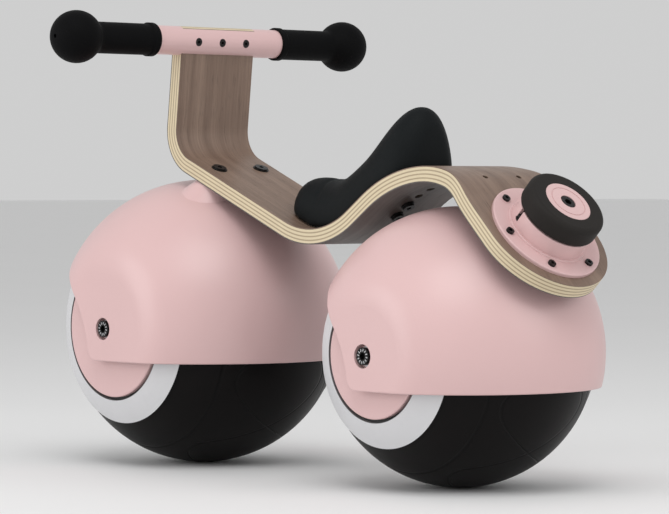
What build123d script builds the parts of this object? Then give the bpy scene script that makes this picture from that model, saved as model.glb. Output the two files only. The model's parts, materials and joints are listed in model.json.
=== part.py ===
from build123d import *
import os
from math import atan, cos, degrees, pi, radians, sin, sqrt, tan

# A two-ball lean-to-steer ride-on. Millimetres, +X forward, +Y rider's left, +Z up,
# origin on the ground below the middle of the whole length.

# ---- driving sizes ----
front_ball_radius = 110.0
rear_ball_radius = 100.0
ball_spacing = 88.0          # between the two balls, level with their axles
wheelbase = front_ball_radius + rear_ball_radius + ball_spacing
steer_lean = 45.0            # the steering axis leans back this far from upright
steer_limit = 20.0           # the rear ball swivels this far each way

# frame beam: a bent strip of plywood, given by the corners of its middle line
ply_thickness = 12.0
ply_half_width = 37.0
end_radius = 52.0            # round rear end of the beam
veneer_thickness = 0.8
bar_height = 338.0
upright_lean = 6.3
knee_setback = 2.6           # corner between upright and slope, behind the front axle
knee_height = 2 * front_ball_radius + 27.2
knee_bend = 30.0
dip_setback = 0.605 * wheelbase  # corner below the saddle's nose, behind the front axle
dip_drop = 26.7              # corner of the dip below the top of the rear ball
dip_height = 2 * rear_ball_radius - dip_drop
dip_bend = 80.0
rise_angle = 34.6
hump_corner = 36.4           # the rise stops this far short of where it would meet the rear plate
hump_bend = 118.0
plate_corner = 49.0          # and the flat rear plate starts this far beyond it
plate_bend = 43.0
ply_seat = rear_ball_radius + 12.5  # underside of the beam above the ball's centre
blend_start = 26.0           # where the beam starts to narrow, ahead of the steering axis
blend_end = 110.0

# handlebar
bar_radius = 11.5
bar_wall = 2.0
bar_half_length = 130.0
grip_start = 63.0
grip_radius = bar_radius + 0.9
grip_collar_radius = bar_radius + 1.9
grip_collar_width = 6.5
grip_ball_radius = 20.6
grip_ball_center = 137.6
bar_screw_pitch = 24.4
bar_screw_radius = 2.0
bar_screw_head = 3.3
bar_nut_radius = 2.7

# shrouds over the balls
shroud_gap = 4.3
shroud_wall = 3.2
front_cheek = 0.936 * front_ball_radius  # outer face of the side cheeks from the middle
rear_cheek = 0.97 * rear_ball_radius
front_cheek_blend = 0.40 * front_ball_radius  # the cheeks melt softly into the dome
rear_cheek_blend = 0.38 * rear_ball_radius
rim_drop = 25.5              # lower rim below the axle
front_opening_radius = 90.0  # curved front edge, as a cylinder across the ball
front_opening_ahead = 107.0
front_opening_below = 30.0
rim_round = 1.2
rim_corner = 10.0            # between the curved front edge and the lower rim
frame_bolt_distance = 41.0   # along the slope from the middle of the knee bend
frame_bolt_spread = 21.5
frame_bolt_radius = 3.0
frame_washer_radius = 6.4
frame_washer_thickness = 0.6
frame_bolt_head = 5.4
frame_bolt_head_height = 1.3
mount_pad_radius = 14.0
mount_pad_flare = 18.0       # the pad widens by this much on its way down into the dome

# wheels
tyre_thickness = 6.0
ring_lip = 1.5               # the pale ring stands this proud of the tyre
shell_wall = 3.0
axle_radius = 6.0
bearing_radius = 14.0
bearing_width = 8.0
inner_race_radius = 8.2
seal_gap = 0.08
hub_tube_radius = 18.0
axle_bolt_radius = 4.0
axle_bolt_head = 6.4
axle_bolt_head_height = 4.6
axle_washer_radius = 7.6
axle_washer_thickness = 0.9
axle_pocket_radius = 8.8
axle_pocket_depth = 5.6
shell_post_radius = 5.0
shell_post_count = 4
shell_screw_radius = 2.0
shell_screw_head = 3.4

# steering unit, heights along the steering axis above the rear ball's centre
flange_radius = 44.0
flange_thickness = 2.8
neck_radius = 29.6
neck_step = 31.6
neck_step_height = 1.0
neck_height = 16.5           # above the beam's top face
housing_tube_radius = 23.9
spindle_radius = 9.0
bush_radius = 13.0
bush_length = 10.0
bush_gap = 0.05
housing_screw_circle = 37.5
housing_screw_radius = 2.0
housing_screw_head = 3.0
housing_screw_count = 6
clamp_ring_inner = 33.0
clamp_ring_outer = 43.5
clamp_ring_thickness = 2.6
boss_radius = 27.0
boss_gap = 1.0
spindle_plate_radius = 24.0
spindle_plate_thickness = 2.4
stop_pin_radius = 2.5
stop_pin_circle = 18.6
knob_gap = 0.4
knob_radius = 30.7
knob_height = 16.0
knob_shoulder = 4.2
knob_foot = 2.8
knob_cap_radius = 18.4
knob_flange_radius = 27.4
knob_flange_height = 4.6
knob_bolt_radius = 4.0
knob_bolt_head = 5.5
lock_angle = 75.0
lock_width = 3.2
lock_travel = 4.5
running_gap = 0.2

# saddle, from the nose back: distance behind the nose, half width, top and skirt heights above the dip
saddle_nose = 58.0           # ahead of the corner below the nose
saddle_stations = (
    (1.0, 7.0, 41.0, 26.0),
    (5.0, 14.5, 48.5, 27.0),
    (15.0, 21.5, 54.5, 28.0),
    (30.0, 24.0, 56.0, 28.0),
    (46.0, 26.5, 54.5, 28.0),
    (63.0, 29.0, 57.0, 30.0),
    (80.0, 31.5, 66.0, 34.0),
    (97.0, 33.0, 78.5, 38.0),
    (113.0, 33.5, 95.0, 42.0),
    (129.0, 32.0, 107.5, 47.0),
    (141.0, 26.0, 107.0, 52.0),
    (148.5, 15.0, 95.0, 56.0),
)
saddle_base_thickness = 3.0
saddle_base_inset = 5.0
seat_hole_pitch = 14.7
seat_hole_distance = 52.0    # first seat hole, along the beam from the middle of the dip bend
seat_hole_radius = 3.3
rear_hole_distance = 58.3    # ahead of the steering axis
rear_hole_spread = 17.0
rear_hole_radius = 2.2

# ---- places worked out from the sizes ----
lean = radians(steer_lean)
knob_top = ply_seat + ply_thickness + neck_height + knob_gap + knob_height
rear_reach = (
    (knob_top - knob_shoulder) * sin(lean)
    + (knob_radius - knob_shoulder) * cos(lean)
    + knob_shoulder
)
front_x = (wheelbase + rear_reach - front_ball_radius) / 2
rear_x = front_x - wheelbase
front_center = Vector(front_x, 0, front_ball_radius)
rear_center = Vector(rear_x, 0, rear_ball_radius)
steer_axis = Vector(-sin(lean), 0, cos(lean))
steer_forward = Vector(cos(lean), 0, sin(lean))
steer_plane = Plane(origin=rear_center, x_dir=steer_forward, z_dir=steer_axis)
bar_setback = knee_setback + (bar_height - knee_height) * tan(radians(upright_lean))
bar_center = Vector(front_x - bar_setback, 0, bar_height)
ply_top = ply_seat + ply_thickness
neck_top = ply_top + neck_height
bottom_align = (Align.CENTER, Align.CENTER, Align.MIN)


def tube(inner, outer, low, high):
    """A round tube standing on the local Z axis from low to high."""
    body = Pos(0, 0, low) * Cylinder(outer, high - low, align=bottom_align)
    if inner > 0:
        body -= Pos(0, 0, low) * Cylinder(inner, high - low, align=bottom_align)
    return body


def along_y(shape):
    """Turns a shape built on local Z so that it lies along +Y."""
    return Rot(-90, 0, 0) * shape


def polar(radius, angle):
    """A point on a circle about the local Z axis."""
    return Pos(radius * cos(radians(angle)), radius * sin(radians(angle)), 0)


def in_steering(shape):
    """Moves a shape from the steering frame to its place on the rear ball."""
    return steer_plane.location * shape


def on_both_sides(shape):
    """A left-hand shape and its mirror image, as separate solids."""
    return [shape, mirror(shape, Plane.XZ)]


def save(node, shape):
    """Writes one node; a list becomes a group of separate solids."""
    if isinstance(shape, list):
        solids = [solid for item in shape for solid in item.solids()]
    else:
        solids = list(shape.solids())
    result = solids[0] if len(solids) == 1 else Compound(children=solids)
    result.label = node
    export_step(result, "parts/" + node + ".step")


# ---- frame beam ----
def beam_corners():
    """Corners of the beam's middle line, from the bar down and back to the round end."""
    knee = Vector(front_x - knee_setback, 0, knee_height)
    up = Vector(-tan(radians(upright_lean)), 0, 1)
    top = knee + up * (bar_height + bar_radius + ply_thickness - knee_height)
    dip = Vector(front_x - dip_setback, 0, dip_height)
    seat = rear_center + steer_axis * (ply_seat + ply_thickness / 2)
    rise = Vector(-cos(radians(rise_angle)), 0, sin(radians(rise_angle)))
    gap = seat - dip
    cross = rise.X * steer_forward.Z - rise.Z * steer_forward.X
    reach = (gap.X * steer_forward.Z - gap.Z * steer_forward.X) / cross
    meeting = dip + rise * reach
    hump = meeting - rise * hump_corner
    plate = meeting - steer_forward * plate_corner
    end = seat - steer_forward * (end_radius + ply_thickness)
    return [top, knee, dip, hump, plate, end]


def beam_path(height):
    """The beam's line moved by height towards its upper face, with the bends kept concentric."""
    corners = beam_corners()
    ways = [(corners[i + 1] - corners[i]).normalized() for i in range(len(corners) - 1)]
    sides = [Vector(way.Z, 0, -way.X) for way in ways]
    moved = [corners[0] + sides[0] * height]
    for i in range(1, len(corners) - 1):
        both = sides[i - 1] + sides[i]
        moved.append(corners[i] + both * (height / (1 + sides[i - 1].dot(sides[i]))))
    moved.append(corners[-1] + sides[-1] * height)
    radii = [knee_bend - height, dip_bend - height, hump_bend + height, plate_bend + height]
    return FilletPolyline(*moved, radius=radii)


def bend_middle(number):
    """Length along the middle line from its top end to the middle of a bend."""
    corners = beam_corners()
    radii = [knee_bend, dip_bend, hump_bend, plate_bend]
    length = 0.0
    for i in range(number + 1):
        length += (corners[i + 1] - corners[i]).length
        before = corners[i + 1] - corners[i]
        after = corners[i + 2] - corners[i + 1]
        turn = radians(before.get_angle(after))
        shortening = 2 * radii[i] * tan(turn / 2) - radii[i] * turn
        length -= shortening if i < number else shortening / 2
    return length


def beam_band(low, high, half_width):
    """A bent strip between two heights over the beam's middle line."""
    lower = beam_path(low)
    upper = beam_path(high)
    start = Line(lower @ 0, upper @ 0)
    finish = Line(lower @ 1, upper @ 1)
    outline = Wire([*lower.edges(), *upper.edges(), start, finish])
    return extrude(Face(outline), amount=half_width, dir=(0, 1, 0), both=True)


def beam_outline():
    """The beam seen along the steering axis: straight sides that widen to a round end."""
    reach = 700.0
    side = Line((reach, ply_half_width), (blend_end, ply_half_width))
    blend = Spline(
        (blend_end, ply_half_width), (blend_start, end_radius), tangents=[(-1, 0), (-1, 0)]
    )
    flank = Line((blend_start, end_radius), (0, end_radius))
    nose = ThreePointArc((0, end_radius), (-end_radius, 0), (0, -end_radius))
    half = [side, blend, flank]
    other = [mirror(edge, Plane.XZ) for edge in half]
    front = Line((reach, ply_half_width), (reach, -ply_half_width))
    face = make_face(Curve() + half + other + [nose, front])
    return in_steering(Pos(0, 0, -reach / 2) * extrude(face, amount=reach))


def beam_point(distance, height):
    """A point over the beam's middle line and the way up from its face."""
    path = beam_path(0)
    wire = Wire(path.edges())
    point = wire.position_at(distance, position_mode=PositionMode.LENGTH)
    way = wire.tangent_at(distance, position_mode=PositionMode.LENGTH)
    up = Vector(way.Z, 0, -way.X)
    return point + up * height, up


def beam_hole(distance, side, radius, low, high):
    """A cylinder square to the beam, side to the left of its middle, between two heights."""
    point, up = beam_point(distance, low)
    plane = Plane(origin=point + Vector(0, side, 0), x_dir=(0, 1, 0), z_dir=up)
    return plane.location * Cylinder(radius, high - low, align=bottom_align)


def frame_bolt_place():
    """Distance of the front frame bolts along the middle line."""
    return bend_middle(0) + frame_bolt_distance


def seat_bolt_places():
    """Distances of the four seat holes; the saddle is bolted in the first two."""
    return [bend_middle(1) + seat_hole_distance + i * seat_hole_pitch for i in range(4)]


def rear_hole_place():
    """Distance of the two rear accessory holes along the middle line."""
    length = Wire(beam_path(0).edges()).length
    return length - end_radius - ply_thickness - rear_hole_distance


def bar_frame():
    """A plane in the middle of the bar, with Z up along the leaning upright."""
    angle = radians(upright_lean)
    return Plane(origin=bar_center, x_dir=(cos(angle), 0, sin(angle)), z_dir=(-sin(angle), 0, cos(angle)))


def bar_places():
    """The three screw places across the beam."""
    return [-bar_screw_pitch, 0, bar_screw_pitch]


def beam_cuts():
    """Everything that is bored, sawn or trimmed out of the glued beam."""
    cuts = []
    half = ply_thickness
    for side in bar_places():
        hole = Rot(0, 90, 0) * Cylinder(bar_nut_radius, 4 * half)
        cuts.append(bar_frame().location * Pos(0, side, 0) * hole)
    for side in (-frame_bolt_spread, frame_bolt_spread):
        cuts.append(beam_hole(frame_bolt_place(), side, frame_bolt_radius, -half, half))
    for distance in seat_bolt_places():
        cuts.append(beam_hole(distance, 0, seat_hole_radius, -half, half))
    for side in (-rear_hole_spread, rear_hole_spread):
        cuts.append(beam_hole(rear_hole_place(), side, rear_hole_radius, -half, half))
    bore = tube(0, housing_tube_radius, ply_seat - half, ply_top + half)
    cuts.append(in_steering(bore))
    for i in range(housing_screw_count):
        angle = 360 / housing_screw_count * (i + 0.5)
        screw = polar(housing_screw_circle, angle) * tube(0, housing_screw_radius, ply_seat - half, ply_top + half)
        cuts.append(in_steering(screw))
    block = Pos(0, 0, 2 * half) * Box(8 * half, 4 * ply_half_width, 4 * half)
    block -= along_y(Cylinder(bar_radius, 4 * ply_half_width))
    cuts.append(Pos(*bar_center) * block)
    return cuts


def beam_nodes():
    """The glued core of the beam and the face veneers on it."""
    half = ply_thickness / 2
    skin = half - veneer_thickness
    cuts = beam_cuts()
    outline = beam_outline()
    layers = (
        ("beam_core", -skin, skin),
        ("beam_top_veneer", skin, half),
        ("beam_bottom_veneer", -half, -skin),
    )
    for node, low, high in layers:
        layer = beam_band(low, high, end_radius + ply_thickness) & outline
        for cut in cuts:
            layer = layer - cut
        save(node, layer)


# ---- handlebar ----
def handlebar_nodes():
    """The bar clamped through the top of the beam, with its screws, nuts and grips."""
    bar = along_y(Cylinder(bar_radius, 2 * bar_half_length))
    bar -= along_y(Cylinder(bar_radius - bar_wall, 2 * bar_half_length))
    slot = Box(ply_thickness, 2 * ply_half_width, 6 * bar_radius)
    frame = bar_frame().location
    bar = frame * (bar - slot)
    screws = []
    nuts = []
    head = 2.2
    face = bar_radius - 0.2
    for side in bar_places():
        place = frame * Pos(0, side, 0) * Rot(0, -90, 0)
        hole = tube(0, bar_nut_radius, -2 * bar_radius, 2 * bar_radius)
        sink = tube(0, bar_screw_head, face - head, 2 * bar_radius)
        bar -= place * (hole + sink + mirror(sink, Plane.XY))
        screw = tube(0, bar_screw_head, face - head, face)
        screw += tube(0, bar_screw_radius, head - face, face - head)
        screw -= extrude(Pos(0, 0, face - 1.6) * RegularPolygon(1.4, 6), amount=bar_radius)
        nut = tube(bar_screw_radius, bar_nut_radius, head - face, -1.0)
        nut += tube(0, bar_screw_head, -face, head - face)
        screws.append(place * screw)
        nuts.append(place * nut)
    save("handlebar_tube", bar)
    save("handlebar_screws", screws)
    save("handlebar_barrel_nuts", nuts)
    grip = Pos(*bar_center) * grip_shape()
    save("left_grip", grip)
    save("right_grip", mirror(grip, Plane.XZ))


def grip_shape():
    """A rubber grip turned about Y: collar, sleeve and ball end with a small vent."""
    ball_start = grip_ball_center - sqrt(grip_ball_radius**2 - grip_radius**2)
    collar_end = grip_start + grip_collar_width
    tip = grip_ball_center + grip_ball_radius
    lines = [
        Line((bar_radius, grip_start), (grip_collar_radius - 0.8, grip_start)),
        ThreePointArc(
            (grip_collar_radius - 0.8, grip_start),
            (grip_collar_radius - 0.2, grip_start + 0.25),
            (grip_collar_radius, grip_start + 0.8),
        ),
        Line((grip_collar_radius, grip_start + 0.8), (grip_collar_radius, collar_end - 1.5)),
        Line((grip_collar_radius, collar_end - 1.5), (grip_radius, collar_end)),
        Line((grip_radius, collar_end), (grip_radius, ball_start)),
        ThreePointArc((grip_radius, ball_start), (grip_ball_radius, grip_ball_center), (0, tip)),
        Line((0, tip), (0, bar_half_length)),
        Line((0, bar_half_length), (bar_radius, bar_half_length)),
        Line((bar_radius, bar_half_length), (bar_radius, grip_start)),
    ]
    grip = revolve(make_face(Curve() + lines), axis=Axis.Y)
    neck = grip.edges().filter_by(GeomType.CIRCLE).sort_by(lambda edge: abs(edge.center().Y - ball_start))
    grip = fillet(neck[0], radius=6.0)
    vent = Pos(0, tip, 0) * along_y(Cylinder(1.6, 12.0))
    return grip - vent


# ---- shrouds ----
def dome(radius, cheek, blend):
    """A ball with two flat sides, blended into its round, turned about Y."""
    mid = sqrt((radius - blend) ** 2 - (cheek - blend) ** 2)
    scale = radius / (radius - blend)
    join = (mid * scale, (cheek - blend) * scale)
    bend = atan((cheek - blend) / mid)
    middle = (bend + pi / 2) / 2
    corner = (mid + blend * cos(middle), cheek - blend + blend * sin(middle))
    lines = [
        Line((0, -cheek), (mid, -cheek)),
        ThreePointArc((mid, -cheek), (corner[0], -corner[1]), (join[0], -join[1])),
        ThreePointArc((join[0], -join[1]), (radius, 0), join),
        ThreePointArc(join, corner, (mid, cheek)),
        Line((mid, cheek), (0, cheek)),
        Line((0, cheek), (0, -cheek)),
    ]
    return revolve(make_face(Curve() + lines), axis=Axis.Y)


def shroud_shape(ball_radius, cheek, blend, extra):
    """The open shroud about a ball centred on the origin; extra is solid added over the dome."""
    outer_radius = ball_radius + shroud_gap + shroud_wall
    grow = ball_radius / rear_ball_radius
    body = dome(outer_radius, cheek, blend)
    for item in extra:
        body += item
    body -= dome(outer_radius - shroud_wall, cheek - shroud_wall, blend - shroud_wall)
    size = 4 * outer_radius
    below = Pos(0, -rim_drop - size / 2) * Rectangle(size, size)
    ahead = Pos(front_opening_ahead * grow, -front_opening_below * grow)
    opening = below + ahead * Circle(front_opening_radius * grow)
    corners = opening.vertices().filter_by(lambda point: abs(point.Y + rim_drop) < 0.01)
    front_corner = corners.sort_by(lambda point: abs(point.X))[0]
    opening = fillet(front_corner, radius=rim_corner)
    return body - extrude(Plane.XZ * opening, amount=size, both=True)


def cheek_details(shroud, cheek, boss_face):
    """Adds the axle bosses inside the cheeks and the pockets for the axle bolts."""
    boss = along_y(tube(0, 2 * axle_washer_radius, boss_face, cheek - shroud_wall / 2))
    pocket = along_y(tube(0, axle_pocket_radius, cheek - axle_pocket_depth, cheek + ply_thickness))
    hole = along_y(tube(0, axle_bolt_radius, boss_face - 1, cheek))
    for item in on_both_sides(boss):
        shroud = shroud + item
    for item in on_both_sides(pocket + hole):
        shroud = shroud - item
    return shroud


def soften_rim(shroud, outer_radius):
    """Rounds the outer edge of the lower rim."""
    low = shroud.edges().filter_by(lambda edge: abs(edge.center().Z + rim_drop) < 0.01)
    rim = [edge for edge in low if edge.bounding_box().size.Z < 0.01]
    outside = [edge for edge in rim if (edge @ 0.5).length > outer_radius - shroud_wall / 2 - 1]
    return fillet(outside, radius=rim_round)


# ---- wheels ----
class WheelSizes:
    """The sizes that the front and the rear wheel don't share."""

    def __init__(self, radius, ring_start, ring_end, ring_bore, cheek):
        self.radius = radius
        self.ring_start = ring_start
        self.ring_end = ring_end
        self.ring_bore = ring_bore
        self.cheek = cheek
        self.boss_face = cheek - axle_pocket_depth - 2.2
        self.disc_face = self.boss_face - 1.2
        self.bearing_face = self.disc_face - 1.5
        self.seat = self.disc_face - 5.5


front_sizes = WheelSizes(
    front_ball_radius,
    0.739 * front_ball_radius,
    0.833 * front_ball_radius,
    0.516 * front_ball_radius,
    front_cheek,
)
rear_sizes = WheelSizes(
    rear_ball_radius,
    0.745 * rear_ball_radius,
    0.861 * rear_ball_radius,
    0.486 * rear_ball_radius,
    rear_cheek,
)


def tyre_shape(wheel):
    """A rubber band of constant thickness on the middle of the ball."""
    outer = wheel.radius
    inner = outer - tyre_thickness
    edge = sqrt(outer**2 - wheel.ring_start**2)
    scale = inner / outer
    low = (edge * scale, wheel.ring_start * scale)
    lines = [
        ThreePointArc((edge, -wheel.ring_start), (outer, 0), (edge, wheel.ring_start)),
        Line((edge, wheel.ring_start), low),
        ThreePointArc(low, (inner, 0), (low[0], -low[1])),
        Line((low[0], -low[1]), (edge, -wheel.ring_start)),
    ]
    return revolve(make_face(Curve() + lines), axis=Axis.Y)


def shell_shape(wheel):
    """The left half of the hard ball: bowl, exposed ring, disc seat and hub tube."""
    inner = wheel.radius - tyre_thickness
    core = inner - shell_wall
    edge = sqrt(wheel.radius**2 - wheel.ring_start**2)
    scale = inner / wheel.radius
    step = (edge * scale, wheel.ring_start * scale)
    lip = (wheel.radius + ring_lip) / wheel.radius
    rim = (edge * lip, wheel.ring_start * lip)
    ring_mid = ((rim[0] + wheel.ring_bore) / 2 + 0.3, (rim[1] + wheel.ring_end) / 2 + 0.4)
    floor = wheel.seat - shell_wall
    turn = sqrt(core**2 - floor**2)
    bearing_floor = wheel.bearing_face - bearing_width
    bowl_mid = radians(45)
    lines = [
        ThreePointArc((inner, 0), (inner * cos(0.4), inner * sin(0.4)), step),
        Line(step, rim),
        ThreePointArc(rim, ring_mid, (wheel.ring_bore, wheel.ring_end)),
        Line((wheel.ring_bore, wheel.ring_end), (wheel.ring_bore, wheel.seat)),
        Line((wheel.ring_bore, wheel.seat), (hub_tube_radius, wheel.seat)),
        Line((hub_tube_radius, wheel.seat), (hub_tube_radius, wheel.bearing_face)),
        Line((hub_tube_radius, wheel.bearing_face), (bearing_radius, wheel.bearing_face)),
        Line((bearing_radius, wheel.bearing_face), (bearing_radius, bearing_floor)),
        Line((bearing_radius, bearing_floor), (bearing_radius - 3, bearing_floor)),
        Line((bearing_radius - 3, bearing_floor), (bearing_radius - 3, 0)),
        Line((bearing_radius - 3, 0), (hub_tube_radius, 0)),
        Line((hub_tube_radius, 0), (hub_tube_radius, floor)),
        Line((hub_tube_radius, floor), (turn, floor)),
        ThreePointArc((turn, floor), (core * cos(bowl_mid), core * sin(bowl_mid)), (core, 0)),
        Line((core, 0), (inner, 0)),
    ]
    return revolve(make_face(Curve() + lines), axis=Axis.Y)


def post_places(wheel):
    """Places of the screw posts that join the two half balls."""
    circle = (hub_tube_radius + wheel.ring_bore) / 2
    step = 360 / shell_post_count
    return [Rot(0, step * (i + 0.5), 0) * Pos(circle, 0, 0) for i in range(shell_post_count)]


def disc_shape(wheel):
    """The coloured hub disc: a shallow cap with a rim that stands on the shell."""
    outer = wheel.ring_bore - 2.6
    inner = hub_tube_radius + 0.6
    face = wheel.disc_face
    skin = 2.4
    round_off = 1.2
    lines = [
        Line((inner, wheel.seat), (inner, face)),
        ThreePointArc((inner, face), ((inner + outer) / 2, face - 0.15), (outer - round_off, face - 0.8)),
        ThreePointArc(
            (outer - round_off, face - 0.8),
            (outer - 0.35, face - 1.15),
            (outer, face - 0.8 - round_off),
        ),
        Line((outer, face - 0.8 - round_off), (outer, wheel.seat)),
        Line((outer, wheel.seat), (outer - skin, wheel.seat)),
        Line((outer - skin, wheel.seat), (outer - skin, face - 2 * skin + 1)),
        Line((outer - skin, face - 2 * skin + 1), (inner + skin, face - skin)),
        Line((inner + skin, face - skin), (inner + skin, wheel.seat)),
        Line((inner + skin, wheel.seat), (inner, wheel.seat)),
    ]
    return revolve(make_face(Curve() + lines), axis=Axis.Y)


def wheel_nodes(name, wheel, center):
    """One ball with its tyre, half shells, discs, screws and the outer bearing rings."""
    place = Pos(*center)
    left = shell_shape(wheel)
    right = mirror(left, Plane.XZ)
    screws = []
    head_seat = 8.0
    screw_depth = 14.0
    inside = wheel.seat - shell_wall / 2
    for spot in post_places(wheel):
        left = left + spot * along_y(tube(0, shell_post_radius, 0, inside))
        left = left - spot * along_y(tube(0, shell_screw_head, head_seat, wheel.radius))
        left = left - spot * along_y(tube(0, shell_screw_radius, -1, head_seat))
        right = right + spot * along_y(tube(0, shell_post_radius, -inside, 0))
        right = right - spot * along_y(tube(0, shell_screw_radius, -screw_depth, 1))
        screw = tube(0, shell_screw_head, head_seat, head_seat + 3)
        screw += tube(0, shell_screw_radius, -screw_depth, head_seat)
        screw -= tube(0, 1.3, head_seat + 1.2, head_seat + 4)
        screws.append(place * spot * along_y(screw))
    bearing = tube(bearing_radius - 2.4, bearing_radius, wheel.bearing_face - bearing_width, wheel.bearing_face)
    for low in (wheel.bearing_face - bearing_width + 0.4, wheel.bearing_face - 1.0):
        bearing += tube(inner_race_radius + seal_gap, bearing_radius - 1, low, low + 0.6)
    races = [place * item for item in on_both_sides(along_y(bearing))]
    discs = on_both_sides(disc_shape(wheel))
    save(name + "_tyre", place * tyre_shape(wheel))
    save(name + "_half_ball_left", place * left)
    save(name + "_half_ball_right", place * right)
    save(name + "_hub_disc_left", place * discs[0])
    save(name + "_hub_disc_right", place * discs[1])
    save(name + "_bearing_outer_rings", races)
    save(name + "_half_ball_screws", screws)


def axle_nodes(name, wheel, center):
    """The fixed axle with its inner bearing rings, spacers, bolts and toothed washers."""
    place = Pos(*center)
    end = wheel.boss_face
    axle = tube(0, axle_radius, -end, end)
    depth = 20.0
    for low in (-end, end - depth):
        axle -= tube(0, axle_bolt_radius, low, low + depth)
    race = tube(axle_radius, inner_race_radius, wheel.bearing_face - bearing_width, wheel.bearing_face)
    spacer = tube(axle_radius, axle_radius + 2.4, wheel.bearing_face, end)
    seat = wheel.cheek - axle_pocket_depth
    washer = tube(axle_bolt_radius, axle_washer_radius, seat, seat + axle_washer_thickness)
    head_low = seat + axle_washer_thickness
    head_high = head_low + axle_bolt_head_height
    teeth = 12
    head = tube(0, axle_bolt_head, head_low, head_high)
    for i in range(teeth):
        notch = tube(0, 0.55, head_high - 0.8, head_high + 1)
        head -= polar(axle_bolt_head - 1.6, 360 / teeth * i) * notch
    head -= extrude(Pos(0, 0, head_high - 2.6) * RegularPolygon(2.9, 6), amount=4)
    bolt = head + tube(0, axle_bolt_radius, end - depth + 1, head_low)
    save(name + "_axle", place * along_y(axle))
    for node, shape in (
        ("_bearing_inner_rings", race),
        ("_axle_spacers", spacer),
        ("_axle_washers", washer),
        ("_axle_bolts", bolt),
    ):
        save(name + node, [place * item for item in on_both_sides(along_y(shape))])


# ---- front shroud ----
def front_shroud_nodes():
    """The front shroud, bolted rigidly to the beam's slope on a raised pad."""
    place = Pos(*front_center)
    distance = frame_bolt_place()
    underside = -ply_thickness / 2
    point, up = beam_point(distance, underside)
    plane = Plane(origin=point - front_center, x_dir=(0, 1, 0), z_dir=up)
    depth = 24.0
    top_face = SlotCenterToCenter(2 * frame_bolt_spread, 2 * mount_pad_radius)
    foot = SlotCenterToCenter(2 * frame_bolt_spread, 2 * (mount_pad_radius + mount_pad_flare))
    pad = loft([top_face, Pos(0, 0, -depth) * foot])
    outer_radius = front_ball_radius + shroud_gap + shroud_wall
    shroud = shroud_shape(front_ball_radius, front_cheek, front_cheek_blend, [plane.location * pad])
    shroud = cheek_details(shroud, front_cheek, front_sizes.boss_face)
    shroud = soften_rim(shroud, outer_radius)
    inserts = []
    bolts = []
    washers = []
    insert_depth = 8.0
    top = ply_thickness / 2
    head_low = top + frame_washer_thickness
    head_high = head_low + frame_bolt_head_height
    for side in (-frame_bolt_spread, frame_bolt_spread):
        sleeve = beam_hole(distance, side, frame_bolt_radius + 1.6, underside - insert_depth, underside)
        core = beam_hole(distance, side, frame_bolt_radius, underside - insert_depth, underside)
        shroud = shroud - Pos(*(-front_center)) * sleeve
        inserts.append(sleeve - core)
        washer = beam_hole(distance, side, frame_washer_radius, top, head_low)
        washers.append(washer - beam_hole(distance, side, frame_bolt_radius, top, head_low))
        bolt = beam_hole(distance, side, frame_bolt_radius, underside - insert_depth, head_low)
        bolt += beam_hole(distance, side, frame_bolt_head, head_low, head_high)
        bolt -= beam_hole(distance, side, 1.8, top, head_high)
        bolts.append(bolt)
    save("front_shroud", place * shroud)
    save("front_shroud_inserts", inserts)
    save("frame_bolts", bolts)
    save("frame_washers", washers)


# ---- steering unit ----
def housing_shape():
    """Flanged housing with its neck, bearing bore, stop groove and lock slot."""
    body = tube(0, housing_tube_radius, ply_seat, ply_top)
    skirt = tube(housing_tube_radius, flange_radius, ply_top - ply_thickness / 2, ply_top)
    beam = steer_plane.location.inverse() * beam_band(
        -ply_thickness, ply_thickness / 2, end_radius + ply_thickness
    )
    skirt = skirt - beam
    flange_top = ply_top + flange_thickness
    flange = tube(0, flange_radius, ply_top, flange_top)
    flange = fillet(flange.edges().sort_by(Axis.Z)[-1], radius=0.9)
    neck = tube(0, neck_radius, ply_top, neck_top)
    neck = fillet(neck.edges().sort_by(Axis.Z)[-1], radius=0.8)
    step = tube(0, neck_step, flange_top, flange_top + neck_step_height)
    step = fillet(step.edges().sort_by(Axis.Z)[-1], radius=0.8)
    body = body + flange + neck + step
    for piece in skirt.solids():
        body = body + piece
    body -= tube(0, spindle_radius + 1, ply_seat, neck_top)
    body -= tube(0, bush_radius, ply_seat, ply_seat + bush_length)
    body -= tube(0, bush_radius, neck_top - bush_length, neck_top)
    body -= stop_groove()
    body -= lock_slot()
    for i in range(housing_screw_count):
        spot = polar(housing_screw_circle, 360 / housing_screw_count * (i + 0.5))
        body -= spot * tube(0, housing_screw_radius, ply_seat, flange_top)
    return body


def stop_groove():
    """A curved groove in the housing's lower face that the stop pin runs in."""
    half = stop_pin_radius + running_gap
    depth = 4.5
    end = steer_limit + degrees(running_gap / stop_pin_circle)
    ring = tube(stop_pin_circle - half, stop_pin_circle + half, ply_seat - 1, ply_seat + depth)
    reach = 2 * stop_pin_circle
    far = reach * tan(radians(end))
    wedge = make_face(Polyline((0, 0), (-reach, far), (-reach, -far), close=True))
    wedge = Pos(0, 0, ply_seat - 1) * extrude(wedge, amount=depth + 1)
    groove = ring & wedge
    for angle in (180 - end, 180 + end):
        groove += polar(stop_pin_circle, angle) * tube(0, half, ply_seat - 1, ply_seat + depth)
    return groove


def lock_block(width, inner, outer, low, high):
    """A block in the neck's wall at the lock's angle."""
    block = Pos((inner + outer) / 2, 0, low) * Box(outer - inner, width, high - low, align=bottom_align)
    return Rot(0, 0, lock_angle) * block


def lock_slot():
    """The slot that the lock key slides in, open at the top of the neck."""
    inner = knob_flange_radius - 2.2
    return lock_block(lock_width + 2 * running_gap, inner, neck_step + 1, neck_top - 9.8, neck_top + 1)


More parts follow.
